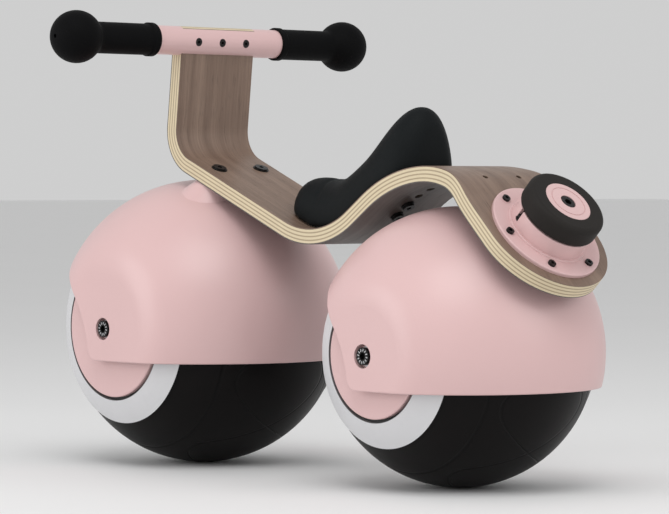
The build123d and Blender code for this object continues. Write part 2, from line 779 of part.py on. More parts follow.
def lock_key_shape():
    """The lock key at rest: a thumb block with a thin tongue above it."""
    inner = knob_flange_radius - 2.0
    body = lock_block(lock_width, inner, neck_radius, neck_top - 9.6, neck_top - lock_travel - 0.4)
    tongue = lock_block(lock_width, inner, knob_flange_radius - 0.3, neck_top - 5.0, neck_top - 0.2)
    ridge = lock_block(lock_width, neck_radius, neck_radius + 0.7, neck_top - 8.4, neck_top - 7.4)
    return body + tongue + ridge


def knob_shapes():
    """The hub and tyre of the round knob on top of the steering spindle."""
    low = neck_top + knob_gap
    top = low + knob_height
    flange_top = low + knob_flange_height
    hub = tube(0, knob_flange_radius, low, flange_top)
    hub += tube(0, knob_cap_radius - 3, low, top - 3)
    cap = tube(0, knob_cap_radius, top - 4, top)
    cap = fillet(cap.edges().sort_by(Axis.Z)[-1], radius=0.6)
    hub += cap
    groove = tube(knob_cap_radius - 5.2, knob_cap_radius - 4.4, top - 0.4, top + 1)
    hub -= groove
    hub -= tube(0, spindle_radius, low, flange_top)
    hub -= tube(0, knob_bolt_radius, low, top)
    hub -= tube(0, knob_bolt_head + 0.6, top - 4.6, top)
    inner = knob_flange_radius - 2.4
    for angle in (-steer_limit, 0, steer_limit):
        notch = lock_block(lock_width + 2 * running_gap, inner, knob_flange_radius + 1, low - 1, flange_top)
        hub -= Rot(0, 0, angle) * notch
    tyre = tube(0, knob_radius, low, top)
    tyre = fillet(tyre.edges().filter_by(GeomType.CIRCLE).sort_by(Axis.Z)[-1], radius=knob_shoulder)
    tyre = fillet(tyre.edges().filter_by(GeomType.CIRCLE).sort_by(Axis.Z)[0], radius=knob_foot)
    tyre -= tube(0, knob_flange_radius, low, flange_top)
    tyre -= tube(0, knob_cap_radius - 3, low, top)
    tyre -= tube(0, knob_cap_radius, top - 4, top)
    return hub, tyre


def steering_nodes():
    """The swivel: housing on the beam, spindle and knob on the rear shroud, stop and lock."""
    boss_top = ply_seat - boss_gap
    wall_inside = rear_ball_radius + shroud_gap
    plate_top = rear_ball_radius + 1.4 + spindle_plate_thickness
    knob_low = neck_top + knob_gap
    flange_top = knob_low + knob_flange_height
    spindle = tube(0, spindle_radius, plate_top, flange_top)
    spindle += tube(0, spindle_plate_radius, plate_top - spindle_plate_thickness, plate_top)
    spindle -= tube(0, knob_bolt_radius, flange_top - 22, flange_top)
    boss = tube(0, boss_radius, wall_inside - 6, boss_top)
    boss = fillet(boss.edges().sort_by(Axis.Z)[-1], radius=0.8)
    turned = Plane(origin=(0, 0, 0), x_dir=steer_forward, z_dir=steer_axis).location
    shroud = shroud_shape(rear_ball_radius, rear_cheek, rear_cheek_blend, [turned * boss])
    pocket = tube(0, spindle_plate_radius + 2, 0, plate_top)
    inner_pad = tube(0, spindle_plate_radius + 5, plate_top - 2, wall_inside)
    shroud = shroud + turned * inner_pad
    shroud = shroud - turned * pocket
    shroud = shroud - turned * tube(0, spindle_radius, 0, boss_top)
    shroud = cheek_details(shroud, rear_cheek, rear_sizes.boss_face)
    outer_radius = rear_ball_radius + shroud_gap + shroud_wall
    shroud = soften_rim(shroud, outer_radius)
    pin = polar(stop_pin_circle, 180) * tube(0, stop_pin_radius, boss_top - 5, ply_seat + 4)
    shroud = shroud - turned * (polar(stop_pin_circle, 180) * tube(0, stop_pin_radius, boss_top - 5, ply_seat))
    screws = []
    circle = (spindle_radius + spindle_plate_radius) / 2
    for i in range(4):
        spot = polar(circle, 45 + 90 * i)
        screw = spot * (
            tube(0, 1.6, plate_top - spindle_plate_thickness + 1.2, plate_top + 5)
            + tube(0, 2.9, plate_top - spindle_plate_thickness, plate_top - spindle_plate_thickness + 1.2)
        )
        spindle -= screw
        shroud = shroud - turned * screw
        screws.append(in_steering(screw))
    washer = tube(spindle_radius + bush_gap, bush_radius + 2, boss_top, ply_seat - running_gap)
    hub, knob_tyre = knob_shapes()
    bolt_seat = knob_low + knob_height - 4.6
    knob_washer = tube(knob_bolt_radius, knob_bolt_head + 0.4, bolt_seat, bolt_seat + 0.8)
    bolt = tube(0, knob_bolt_head, bolt_seat + 0.8, bolt_seat + 4.4)
    bolt = bolt + tube(0, knob_bolt_radius, flange_top - 20, bolt_seat + 0.8)
    bolt -= extrude(Pos(0, 0, bolt_seat + 1.6) * RegularPolygon(2.9, 6), amount=4)
    save("rear_shroud", Pos(*rear_center) * shroud)
    save("steering_spindle", in_steering(spindle))
    save("spindle_screws", screws)
    save("thrust_washer", in_steering(washer))
    save("steering_stop_pin", in_steering(pin))
    save("knob_hub", in_steering(hub))
    save("knob_tyre", in_steering(knob_tyre))
    save("knob_washer", in_steering(knob_washer))
    save("knob_bolt", in_steering(bolt))
    save("steering_lock_key", in_steering(lock_key_shape()))


def housing_nodes():
    """The pieces of the swivel that stay on the beam."""
    save("steering_housing", in_steering(housing_shape()))
    band = beam_band(-ply_thickness / 2, ply_thickness, end_radius + ply_thickness)
    beam = steer_plane.location.inverse() * band
    lower = tube(spindle_radius + bush_gap, bush_radius, ply_seat, ply_seat + bush_length)
    upper = tube(spindle_radius + bush_gap, bush_radius, neck_top - bush_length, neck_top)
    save("lower_steering_bush", in_steering(lower))
    save("upper_steering_bush", in_steering(upper))
    ring = tube(clamp_ring_inner, clamp_ring_outer, ply_seat - clamp_ring_thickness, ply_seat)
    ring = (ring - beam).solids().sort_by(SortBy.VOLUME)[-1]
    head_low = ply_top + flange_thickness
    screws = []
    for i in range(housing_screw_count):
        spot = polar(housing_screw_circle, 360 / housing_screw_count * (i + 0.5))
        ring -= spot * tube(0, housing_screw_radius, 0, ply_seat)
        screw = tube(0, housing_screw_radius, ply_seat - clamp_ring_thickness, head_low)
        screw += tube(0, housing_screw_head, head_low, head_low + 1.8)
        screw -= extrude(Pos(0, 0, head_low + 0.6) * RegularPolygon(1.5, 6), amount=2)
        screws.append(in_steering(spot * screw))
    save("housing_clamp_ring", in_steering(ring))
    save("housing_screws", screws)


# ---- saddle ----
def saddle_section(place, half, top, skirt):
    """One upright section across the saddle: straight skirts under a half ellipse."""
    front = front_x - dip_setback + saddle_nose
    plane = Plane(origin=(front - place, 0, dip_height), x_dir=(0, 1, 0), z_dir=(1, 0, 0))
    low = skirt - 2 * ply_thickness
    arch = EllipticalCenterArc((0, skirt), half, top - skirt, arc_size=180)
    lines = [
        arch,
        Line((-half, skirt), (-half, low)),
        Line((-half, low), (half, low)),
        Line((half, low), (half, skirt)),
    ]
    return plane.location * make_face(Curve() + lines)


def saddle_nodes():
    """The padded saddle on its base, held from below through two of the four seat holes."""
    face = ply_thickness / 2
    width = ply_half_width + ply_thickness
    under = beam_band(-2.5 * ply_thickness, face, width)
    body = loft([saddle_section(*station) for station in saddle_stations])
    band = beam_band(face, face + saddle_base_thickness, width)
    rows = []
    for place, half, top, skirt in saddle_stations[2:-1]:
        rows.append(saddle_section(place, half - saddle_base_inset, top - saddle_base_inset, skirt))
    base = (loft(rows) & band).solids().sort_by(SortBy.VOLUME)[-1]
    saddle = (body - under).solids().sort_by(SortBy.VOLUME)[-1]
    saddle = saddle - base
    inserts = []
    bolts = []
    washers = []
    sleeve_top = face + saddle_base_thickness + 9.0
    for distance in seat_bolt_places()[:2]:
        sleeve = beam_hole(distance, 0, seat_hole_radius + 1.5, face, sleeve_top)
        sleeve += beam_hole(distance, 0, seat_hole_radius + 4.5, sleeve_top - 1.2, sleeve_top)
        sleeve = sleeve - under
        base = base - sleeve
        saddle = (saddle - sleeve).solids().sort_by(SortBy.VOLUME)[-1]
        inserts.append(sleeve - beam_hole(distance, 0, seat_hole_radius - 0.3, face, sleeve_top))
        washer = beam_hole(distance, 0, seat_hole_radius + 2.0, -face - 1.2, -face)
        washer = washer - beam_hole(distance, 0, seat_hole_radius - 0.3, -face - 1.2, -face)
        washers.append(washer - beam_band(-face, face, width))
        bolt = beam_hole(distance, 0, seat_hole_radius - 0.3, -face - 1.2, sleeve_top - 1)
        bolt += beam_hole(distance, 0, seat_hole_radius + 1.3, -face - 3.2, -face - 1.2)
        bolt -= beam_hole(distance, 0, 1.9, -face - 5, -face - 1.9)
        bolts.append(bolt)
    save("saddle", saddle)
    save("saddle_base", base)
    save("saddle_inserts", inserts)
    save("saddle_bolts", bolts)
    save("saddle_washers", washers)


def main():
    """Builds every node of the ride-on."""
    os.makedirs("parts", exist_ok=True)
    beam_nodes()
    handlebar_nodes()
    front_shroud_nodes()
    housing_nodes()
    steering_nodes()
    saddle_nodes()
    wheel_nodes("front", front_sizes, front_center)
    wheel_nodes("rear", rear_sizes, rear_center)
    axle_nodes("front", front_sizes, front_center)
    axle_nodes("rear", rear_sizes, rear_center)


main()
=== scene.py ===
import json
import math

import bmesh
import bpy
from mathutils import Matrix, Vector


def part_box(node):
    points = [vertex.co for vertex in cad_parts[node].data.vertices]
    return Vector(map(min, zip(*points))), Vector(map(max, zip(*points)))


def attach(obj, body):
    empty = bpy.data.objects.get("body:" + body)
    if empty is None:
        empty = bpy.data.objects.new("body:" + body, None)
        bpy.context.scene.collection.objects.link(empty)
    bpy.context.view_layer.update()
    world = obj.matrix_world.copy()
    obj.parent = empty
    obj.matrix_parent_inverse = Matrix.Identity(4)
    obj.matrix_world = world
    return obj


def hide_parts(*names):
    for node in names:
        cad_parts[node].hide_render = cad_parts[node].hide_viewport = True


bl_info = {
    "name": "Ball Ride-on Balance Bike",
    "version": (1, 0, 0),
    "blender": (4, 5, 0),
    "location": "3D View > Sidebar > Ride-on",
    "description": "Finishes and soft pieces of a two-ball balance bike, built round its packed frame",
    "category": "Add Mesh",
}

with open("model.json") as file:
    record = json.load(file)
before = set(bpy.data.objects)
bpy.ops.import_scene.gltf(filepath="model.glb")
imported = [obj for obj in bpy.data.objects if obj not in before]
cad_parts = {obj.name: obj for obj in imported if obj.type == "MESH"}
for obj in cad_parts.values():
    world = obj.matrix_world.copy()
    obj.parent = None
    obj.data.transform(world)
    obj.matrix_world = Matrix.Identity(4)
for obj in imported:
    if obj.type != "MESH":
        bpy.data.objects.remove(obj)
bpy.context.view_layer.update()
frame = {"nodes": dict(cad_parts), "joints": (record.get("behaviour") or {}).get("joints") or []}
NODES = frame["nodes"]


def joint_place(name):
    """Where a joint stands at rest, in metres."""
    found = [joint for joint in frame["joints"] if joint["name"] == name][0]
    return Vector(found["pos_m"])


FRONT_AXLE = joint_place("front_ball_spin")
REAR_AXLE = joint_place("rear_ball_spin")


def shown(red, green, blue):
    """A linear colour from the three display levels a person reads off a swatch."""
    levels = []
    for level in (red, green, blue):
        part = level / 255
        levels.append(part / 12.92 if part <= 0.04045 else ((part + 0.055) / 1.055) ** 2.4)
    return (*levels, 1.0)


def tinted(color, share):
    """The same colour made lighter or darker by a share."""
    return (*[min(1.0, level * share) for level in color[:3]], 1.0)


# ---- shader building ----
class Wire:
    """A shader socket that takes part in Python sums."""

    def __init__(self, graph, socket):
        self.graph = graph
        self.socket = socket

    def using(self, operation, *others):
        inputs = {index: value for index, value in enumerate((self, *others))}
        return self.graph.node("ShaderNodeMath", {"operation": operation}, inputs)

    def __add__(self, other):
        return self.using("ADD", other)

    __radd__ = __add__

    def __mul__(self, other):
        return self.using("MULTIPLY", other)

    __rmul__ = __mul__

    def __sub__(self, other):
        return self.using("SUBTRACT", other)

    def __rsub__(self, other):
        return self * -1.0 + other

    def __truediv__(self, other):
        return self.using("DIVIDE", other)

    def __pow__(self, other):
        return self.using("POWER", other)

    def __gt__(self, other):
        return self.using("GREATER_THAN", other)

    def __lt__(self, other):
        return self.using("LESS_THAN", other)

    def __abs__(self):
        return self.using("ABSOLUTE")

    def clamped(self, low, high):
        """0 at low and 1 at high, straight between them."""
        settings = {"clamp": True}
        inputs = {"Value": self, "From Min": low, "From Max": high}
        return self.graph.node("ShaderNodeMapRange", settings, inputs)


class Graph:
    """The node tree of one material."""

    def __init__(self, name):
        self.material = bpy.data.materials.new(name)
        self.material.use_nodes = True
        self.tree = self.material.node_tree
        self.tree.nodes.clear()

    def node(self, kind, settings=None, inputs=None, output=0):
        """Adds a node: its settings first, then its socket values and links."""
        made = self.tree.nodes.new(kind)
        for key, value in (settings or {}).items():
            if key == "stops":
                for element, (place, color) in zip(made.color_ramp.elements, value):
                    element.position = place
                    element.color = color
            else:
                setattr(made, key, value)
        for key, value in (inputs or {}).items():
            if isinstance(value, Wire):
                self.tree.links.new(value.socket, made.inputs[key])
            else:
                made.inputs[key].default_value = value
        return Wire(self, made.outputs[output])

    def place(self, scale=(1.0, 1.0, 1.0)):
        """Object-space position, stretched by a scale on each axis."""
        here = self.node("ShaderNodeTexCoord", output="Object")
        return self.node("ShaderNodeVectorMath", {"operation": "MULTIPLY"}, {0: here, 1: scale})

    def axes(self):
        """The three object-space coordinates in metres."""
        split = self.tree.nodes.new("ShaderNodeSeparateXYZ")
        self.tree.links.new(self.place().socket, split.inputs[0])
        return [Wire(self, split.outputs[index]) for index in range(3)]

    def noise(self, scale, detail=3.0, stretch=(1.0, 1.0, 1.0), rough=0.5):
        """Soft random values round a half."""
        inputs = {"Vector": self.place(stretch), "Scale": scale, "Detail": detail, "Roughness": rough}
        return self.node("ShaderNodeTexNoise", {}, inputs)

    def mix(self, share, first, second):
        """A colour between two colours."""
        inputs = {0: share, 6: first, 7: second}
        return self.node("ShaderNodeMix", {"data_type": "RGBA"}, inputs, 2)

    def bump(self, height, depth, under=None):
        """A surface normal tilted by a height given in parts of the depth."""
        inputs = {"Strength": 1.0, "Distance": depth, "Height": height}
        if under is not None:
            inputs["Normal"] = under
        return self.node("ShaderNodeBump", {}, inputs)

    def finish(self, **sockets):
        """The surface shader; socket names are written with underscores."""
        inputs = {key.replace("_", " "): value for key, value in sockets.items()}
        surface = self.node("ShaderNodeBsdfPrincipled", {}, inputs)
        out = self.tree.nodes.new("ShaderNodeOutputMaterial")
        self.tree.links.new(surface.socket, out.inputs["Surface"])
        return self.material


def painted_shell(name, color, gloss, grain):
    """Satin moulded plastic: faint tone drift, an orange-peel skin and a few handling marks."""
    graph = Graph(name)
    drift = graph.noise(9.0, 2.0)
    peel = graph.noise(420.0, 2.0)
    speckle = graph.noise(2600.0, 1.0)
    scuff = graph.noise(60.0, 5.0, (1.0, 0.35, 1.6), 0.75).clamped(0.66, 0.78)
    tone = graph.mix(drift, tinted(color, 0.95), tinted(color, 1.05))
    tone = graph.mix(speckle * 0.12, tone, tinted(color, 1.12))
    tone = graph.mix(scuff * 0.16, tone, tinted(color, 0.86))
    rough = drift * 0.10 + peel * 0.06 + scuff * 0.10 + (gloss - 0.08)
    skin = graph.bump(peel, 0.00006 * grain)
    skin = graph.bump(speckle, 0.00003 * grain, skin)
    return graph.finish(Base_Color=tone, Roughness=rough, Normal=skin, IOR=1.48)


def ball_tyre(name, color, axle, wave, turns):
    """Smooth black rubber with faint crossing moulded grooves round the ball, darkened with painted
    shade.
    """
    graph = Graph(name)
    edge_groove = wave * 1.25
    groove_floor, groove_rim = 0.0004, 0.0016
    groove_depth = 0.0005
    x, y, z = graph.axes()
    angle = (z - axle.z).using("ARCTAN2", x - axle.x)
    line = (angle * turns).using("SINE") * wave
    near = abs(y - line).using("MINIMUM", abs(y + line))
    near = near.using("MINIMUM", abs(abs(y) - edge_groove))
    shaded_groove = 1.0 - near.clamped(groove_floor, groove_rim)
    dust = graph.noise(14.0, 6.0, rough=0.65)
    fine = graph.noise(1500.0, 2.0)
    tone = graph.mix(dust, tinted(color, 0.8), tinted(color, 1.5))
    # painted shade: the grooves are darkened as if shade falls into them
    tone = graph.mix(shaded_groove * 0.5, tone, tinted(color, 0.45))
    rough = dust * 0.16 + fine * 0.08 + 0.30
    skin = graph.bump(1.0 - shaded_groove, groove_depth)
    skin = graph.bump(fine, 0.00004, skin)
    return graph.finish(Base_Color=tone, Roughness=rough, Normal=skin, Specular_IOR_Level=0.10)


def soft_rubber(name, color, pitch, gloss):
    """Matt rubber with a fine moulded grain."""
    graph = Graph(name)
    grain = graph.noise(pitch, 2.0)
    wear = graph.noise(35.0, 4.0)
    tone = graph.mix(wear, tinted(color, 0.8), tinted(color, 1.35))
    tone = graph.mix(grain * 0.15, tone, tinted(color, 1.9))
    rough = grain * 0.12 + wear * 0.10 + 0.52
    normal = graph.bump(grain, 0.00012)
    return graph.finish(Base_Color=tone, Roughness=rough, Normal=normal, Specular_IOR_Level=gloss)


def half_ball(name, ring_color, gap_shade_color, axle, bore):
    """Pale ring on the ball's side; inside it the well behind the hub disc is painted dark, the black
    ball's colour deepened with painted shade.
    """
    graph = Graph(name)
    inward, outward = 0.0002, 0.0004
    x, y, z = graph.axes()
    run = ((x - axle.x) ** 2.0 + (z - axle.z) ** 2.0) ** 0.5
    ring = run.clamped(bore - inward, bore + outward)
    drift = graph.noise(30.0, 4.0)
    fine = graph.noise(900.0, 2.0)
    dust = graph.noise(75.0, 6.0, rough=0.7).clamped(0.55, 0.8)
    tone = graph.mix(drift, tinted(ring_color, 0.96), tinted(ring_color, 1.03))
    tone = graph.mix(dust * 0.15, tone, tinted(ring_color, 0.72))
    # painted shade: inside the bore the shell takes the black ball's colour darkened further, as shade
    # in the gap behind the hub disc
    tone = graph.mix(ring, gap_shade_color, tone)
    rough = drift * 0.1 + fine * 0.05 + 0.36
    return graph.finish(Base_Color=tone, Roughness=rough, Normal=graph.bump(fine, 0.00003))


def bright_metal(name, color, gloss):
    """Turned or plated steel with fine lines and faint handling marks."""
    graph = Graph(name)
    lines = graph.noise(500.0, 2.0, (1.0, 6.0, 1.0))
    stain = graph.noise(90.0, 5.0)
    tone = graph.mix(stain, tinted(color, 0.8), tinted(color, 1.1))
    rough = lines * 0.12 + stain * 0.12 + gloss
    normal = graph.bump(lines, 0.00002)
    return graph.finish(Base_Color=tone, Metallic=1.0, Roughness=rough, Normal=normal)


def black_screw(name, color):
    """Black oxide on steel, rubbed a little brighter in places."""
    graph = Graph(name)
    rub = graph.noise(700.0, 4.0).clamped(0.5, 0.75)
    grain = graph.noise(3000.0, 2.0)
    tone = graph.mix(rub, color, tinted(color, 3.2))
    rough = grain * 0.16 + 0.3 - rub * 0.06
    normal = graph.bump(grain, 0.00002)
    return graph.finish(Base_Color=tone, Metallic=0.6, Roughness=rough, Normal=normal)


def toothed_screw(name, color, bright, axle, face):
    """Black axle bolt with a ring of bright pressed teeth round its socket."""
    graph = Graph(name)
    teeth = 12.0
    inner, outer = 0.0034, 0.0052
    blur = 0.0004
    step = 0.0030
    x, y, z = graph.axes()
    run = ((x - axle.x) ** 2.0 + (z - axle.z) ** 2.0) ** 0.5
    turn = (z - axle.z).using("ARCTAN2", x - axle.x)
    tooth = (turn * teeth).using("SINE").clamped(0.05, 0.35)
    ring = run.clamped(inner, inner + blur) * (1.0 - run.clamped(outer, outer + blur))
    outside = abs(y).clamped(face - step, face - step + blur)
    tick = tooth * ring * outside
    rub = graph.noise(700.0, 4.0).clamped(0.5, 0.75)
    tone = graph.mix(rub, color, tinted(color, 3.0))
    tone = graph.mix(tick, tone, bright)
    rough = rub * 0.1 + 0.30
    normal = graph.bump(tick, 0.0003)
    return graph.finish(Base_Color=tone, Metallic=0.7, Roughness=rough, Normal=normal)


def face_veneer(name, pale, dark, gloss):
    """Oiled face veneer with its grain running along the strip."""
    graph = Graph(name)
    bands = graph.noise(1.0, 4.0, (5.0, 75.0, 5.0), 0.6)
    lines = graph.noise(1.0, 5.0, (16.0, 900.0, 16.0), 0.6)
    pores = graph.noise(1.0, 2.0, (70.0, 1900.0, 70.0)).clamped(0.60, 0.72)
    cloud = graph.noise(14.0, 3.0)
    tone = graph.mix(bands.clamped(0.32, 0.68), dark, pale)
    tone = graph.mix(lines.clamped(0.35, 0.7) * 0.55, tone, tinted(dark, 0.85))
    tone = graph.mix(cloud * 0.35, tone, tinted(pale, 1.08))
    tone = graph.mix(pores * 0.55, tone, tinted(dark, 0.45))
    rough = lines * 0.14 + pores * 0.12 + gloss
    skin = graph.bump(lines, 0.00005)
    skin = graph.bump(1.0 - pores, 0.00008, skin)
    return graph.finish(Base_Color=tone, Roughness=rough, Normal=skin)


# ---- the beam's middle line, for the glued layers that show on its sawn edge ----
def beam_line():
    """Corners of the bent beam's middle line, then each bend's radius in metres and its hand."""
    stem_lean = math.radians(6.3)
    knee_height = 0.2472
    dip_height = 0.1733
    dip_behind_axle = 0.18029
    rise_slope = math.radians(34.6)
    hump_before_meeting = 0.0364
    plate_past_meeting = 0.049
    plate_over_axle = 0.1185
    plate_run = 0.07
    radii = [0.030, 0.080, 0.118, 0.043]
    hands = [1, 1, -1, -1]
    bar_low, bar_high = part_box("handlebar_tube")
    bar_x = (bar_low.x + bar_high.x) / 2
    top = Vector((bar_x, (bar_low.z + bar_high.z) / 2))
    knee = Vector((bar_x + math.tan(stem_lean) * (top.y - knee_height), knee_height))
    dip = Vector((FRONT_AXLE.x - dip_behind_axle, dip_height))
    axis = Vector((-math.sqrt(0.5), math.sqrt(0.5)))
    along = Vector((math.sqrt(0.5), math.sqrt(0.5)))
    seat = Vector((REAR_AXLE.x, REAR_AXLE.z)) + axis * plate_over_axle
    rise = Vector((-math.cos(rise_slope), math.sin(rise_slope)))
    gap = seat - dip
    cross = rise.x * along.y - rise.y * along.x
    meeting = dip + rise * ((gap.x * along.y - gap.y * along.x) / cross)
    hump = meeting - rise * hump_before_meeting
    plate = meeting - along * plate_past_meeting
    end = seat - along * plate_run
    return [top, knee, dip, hump, plate, end], radii, hands


def beam_height(graph):
    """Height over the beam's middle line: straight runs and bends, each taken over where it starts."""
    corners, radii, hands = beam_line()
    x, y, z = graph.axes()
    height = None
    for index in range(len(corners) - 1):
        way = (corners[index + 1] - corners[index]).normalized()
        side = Vector((way.y, -way.x))
        straight = x * side.x + z * side.y - side.dot(corners[index])
        if height is None:
            height = straight
        else:
            before = (corners[index] - corners[index - 1]).normalized()
            turn = before.angle(way)
            radius, hand = radii[index - 1], hands[index - 1]
            reach = radius * math.tan(turn / 2)
            start = corners[index] - before * reach
            stop = corners[index] + way * reach
            centre = start + Vector((before.y, -before.x)) * radius * hand
            away = ((x - centre.x) ** 2.0 + (z - centre.y) ** 2.0) ** 0.5
            bend = (away - radius) * -hand
            in_bend = (x * before.x + z * before.y) > before.dot(start)
            past = (x * way.x + z * way.y) > way.dot(stop)
            height = height + in_bend * (bend - height)
            height = height + past * (straight - height)
    return height


def shaded_hole_walls(graph):
    """1 on the walls of holes bored through the beam, which get painted shade; 0 on its outer edge and
    ends.
    """
    low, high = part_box("beam_core")
    x, y, z = graph.axes()
    narrow_half_width = 0.037
    edge_zone = 0.004
    end_zone = 0.030
    middle = abs(y) < narrow_half_width - edge_zone
    return middle * (z < high.z - end_zone) * (x > low.x + end_zone)


def ply_edge(name, pale, dark, thickness, veneer):
    """Sawn edge of the glued core: four pale layers with three darker ones between them, and painted
    shade on the walls of bored holes.
    """
    graph = Graph(name)
    height = beam_height(graph)
    core = thickness - 2 * veneer
    pale_layers = 4
    dark_layer = 0.00115
    pitch = (core + dark_layer) / pale_layers
    waver = 0.00008
    warp = graph.noise(30.0, 2.0) * (2 * waver) - waver
    place = ((height + warp + core / 2) / pitch).using("FRACT") * pitch
    light_layer = pitch - dark_layer
    edge = 0.00012
    layer = place.clamped(light_layer - edge, light_layer + edge)
    layer = layer * (1.0 - place.clamped(pitch - 2 * edge, pitch))
    fibre = graph.noise(1.0, 4.0, (500.0, 150.0, 500.0), 0.7)
    streak = graph.noise(1.0, 3.0, (60.0, 60.0, 60.0))
    tone = graph.mix(streak, tinted(pale, 0.93), tinted(pale, 1.05))
    tone = graph.mix(fibre * 0.30, tone, tinted(pale, 0.74))
    brown = graph.mix(fibre, tinted(dark, 0.8), tinted(dark, 1.2))
    tone = graph.mix(layer * 0.85, tone, brown)
    # painted shade: the walls of holes bored through the beam are darkened
    tone = graph.mix(shaded_hole_walls(graph), tone, tinted(dark, 0.25))
    rough = fibre * 0.2 + 0.42
    normal = graph.bump(fibre - layer * 0.5, 0.00008)
    return graph.finish(Base_Color=tone, Roughness=rough, Normal=normal)


def foam_skin(name, color):
    """Blue-black moulded foam skin: matt, finely grained, faintly rubbed on top."""
    graph = Graph(name)
    grain = graph.node(
        "ShaderNodeTexVoronoi", {"feature": "F1"}, {"Vector": graph.place(), "Scale": 1300.0}
    )
    cloud = graph.noise(22.0, 4.0)
    tone = graph.mix(cloud, tinted(color, 0.75), tinted(color, 1.4))
    rough = grain * 0.14 + cloud * 0.10 + 0.50
    normal = graph.bump(grain, 0.00010)
    return graph.finish(Base_Color=tone, Roughness=rough, Normal=normal, Specular_IOR_Level=0.16)


def plain_floor(name, color):
    """Pale matt studio floor."""
    graph = Graph(name)
    tone = graph.mix(graph.noise(2.0, 3.0), tinted(color, 0.985), tinted(color, 1.01))
    return graph.finish(Base_Color=tone, Roughness=0.75)


# ---- settings a user would change ----
def color_setting(label, tip, value):
    """A colour property with the usual subtype."""
    return bpy.props.FloatVectorProperty(
        name=label, description=tip, size=4, subtype="COLOR", min=0, max=1, default=value
    )


def length_setting(label, tip, value):
    """A length property in metres."""
    return bpy.props.FloatProperty(
        name=label, description=tip, default=value, subtype="DISTANCE", unit="LENGTH"
    )


class RideOnFinish(bpy.types.PropertyGroup):
    """Colours of the ride-on's pieces."""

    pink: color_setting("Pink", "Shrouds, hub discs, bar and steering unit", shown(219, 184, 183))
    ring: color_setting("Ring", "Pale rings on the balls' sides", shown(214, 214, 216))
    rubber: color_setting("Rubber", "Ball tyres", shown(14, 12, 12))
    knob: color_setting("Knob tyre", "Rubber round the steering knob", shown(34, 31, 29))
    grip: color_setting("Grip", "Handlebar grips", shown(8, 8, 9))
    foam: color_setting("Foam", "Saddle skin", shown(8, 13, 15))
    walnut_pale: color_setting("Walnut, pale", "Pale grain of the upper veneer", shown(146, 123, 107))
    walnut_dark: color_setting("Walnut, dark", "Dark grain of the upper veneer", shown(104, 82, 69))
    under_pale: color_setting("Underside, pale", "Pale grain below the beam", shown(112, 106, 101))
    under_dark: color_setting("Underside, dark", "Dark grain below the beam", shown(80, 74, 70))
    ply_pale: color_setting("Ply, pale", "Pale glued layers", shown(222, 207, 174))
    ply_dark: color_setting("Ply, dark", "Darker glued layers", shown(158, 138, 112))
    screw: color_setting("Screw", "Black oxide screws", shown(30, 29, 29))
    steel: color_setting("Steel", "Plated washers and bearings", shown(200, 200, 202))


class RideOnSaddle(bpy.types.PropertyGroup):
    """Shape of the padded saddle."""

    voxel: length_setting("Voxel", "Size of the first mesh's cells", 0.0024)
    crease: length_setting("Crease depth", "Depth of the fold between nose and back", 0.0014)
    smoothing: bpy.props.IntProperty(
        name="Smoothing", description="Rounds of smoothing on the foam", default=14, min=0, max=60
    )


class RideOnStage(bpy.types.PropertyGroup):
    """Camera and light."""

    azimuth: bpy.props.FloatProperty(
        name="Azimuth", description="Direction of view round the ride-on", default=228.429
    )
    elevation: bpy.props.FloatProperty(
        name="Elevation", description="Height of view above the horizon", default=1.262
    )
    lens: bpy.props.FloatProperty(name="Lens", description="Focal length in millimetres", default=171.63)
    distance: length_setting("Distance", "Camera to the middle of the ride-on", 2.4628)
    key: bpy.props.FloatProperty(name="Key", description="Power of the large top light", default=17.0)


# ---- helpers for the pieces ----
def dress(material, *names):
    """Gives CAD nodes a material, set on their objects."""
    for name in names:
        node = NODES[name]
        for place in node.material_slots:
            place.link = "OBJECT"
            place.material = material


def give_material(piece, material):
    """Makes a material the only one on a piece's mesh."""
    piece.data.materials.clear()
    piece.data.materials.append(material)


def both(*names):
    """The front and the rear node of each name."""
    return [end + name for end in ("front_", "rear_") for name in names]


def mesh_piece(name, mesh, material, body):
    """Puts a mesh into the scene as a piece that rides on a body."""
    piece = bpy.data.objects.new(name, mesh)
    bpy.context.scene.collection.objects.link(piece)
    give_material(piece, material)
    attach(piece, body)
    return piece


def apply_modifiers(piece):
    """Fixes a piece's modifiers into its mesh."""
    graph = bpy.context.evaluated_depsgraph_get()
    fixed = bpy.data.meshes.new_from_object(piece.evaluated_get(graph))
    piece.modifiers.clear()
    piece.data = fixed


class RideOnOperator:
    """Shared by every operator of the ride-on."""

    bl_options = {"REGISTER", "UNDO"}

    @property
    def finish_settings(self):
        """The colours, as the scene holds them."""
        return bpy.context.scene.ride_on_finish


class RIDEON_OT_beam(RideOnOperator, bpy.types.Operator):
    """Finish the bent plywood beam and its veneers"""

    bl_idname = "rideon.beam"
    bl_label = "Plywood beam"

    def execute(self, context):
        look = self.finish_settings
        thickness = 0.012
        veneer = 0.0008
        edge = ply_edge("ply_edge", look.ply_pale, look.ply_dark, thickness, veneer)
        dress(edge, "beam_core")
        dress(face_veneer("walnut_veneer", look.walnut_pale, look.walnut_dark, 0.36), "beam_top_veneer")
        under = face_veneer("underside_veneer", look.under_pale, look.under_dark, 0.42)
        dress(under, "beam_bottom_veneer")
        return {"FINISHED"}


class RIDEON_OT_shrouds(RideOnOperator, bpy.types.Operator):
    """Finish the two pink shrouds over the balls"""

    bl_idname = "rideon.shrouds"
    bl_label = "Shrouds"

    def execute(self, context):
        pink = painted_shell("shroud_pink", self.finish_settings.pink, 0.34, 1.0)
        dress(pink, *both("shroud"))
        return {"FINISHED"}


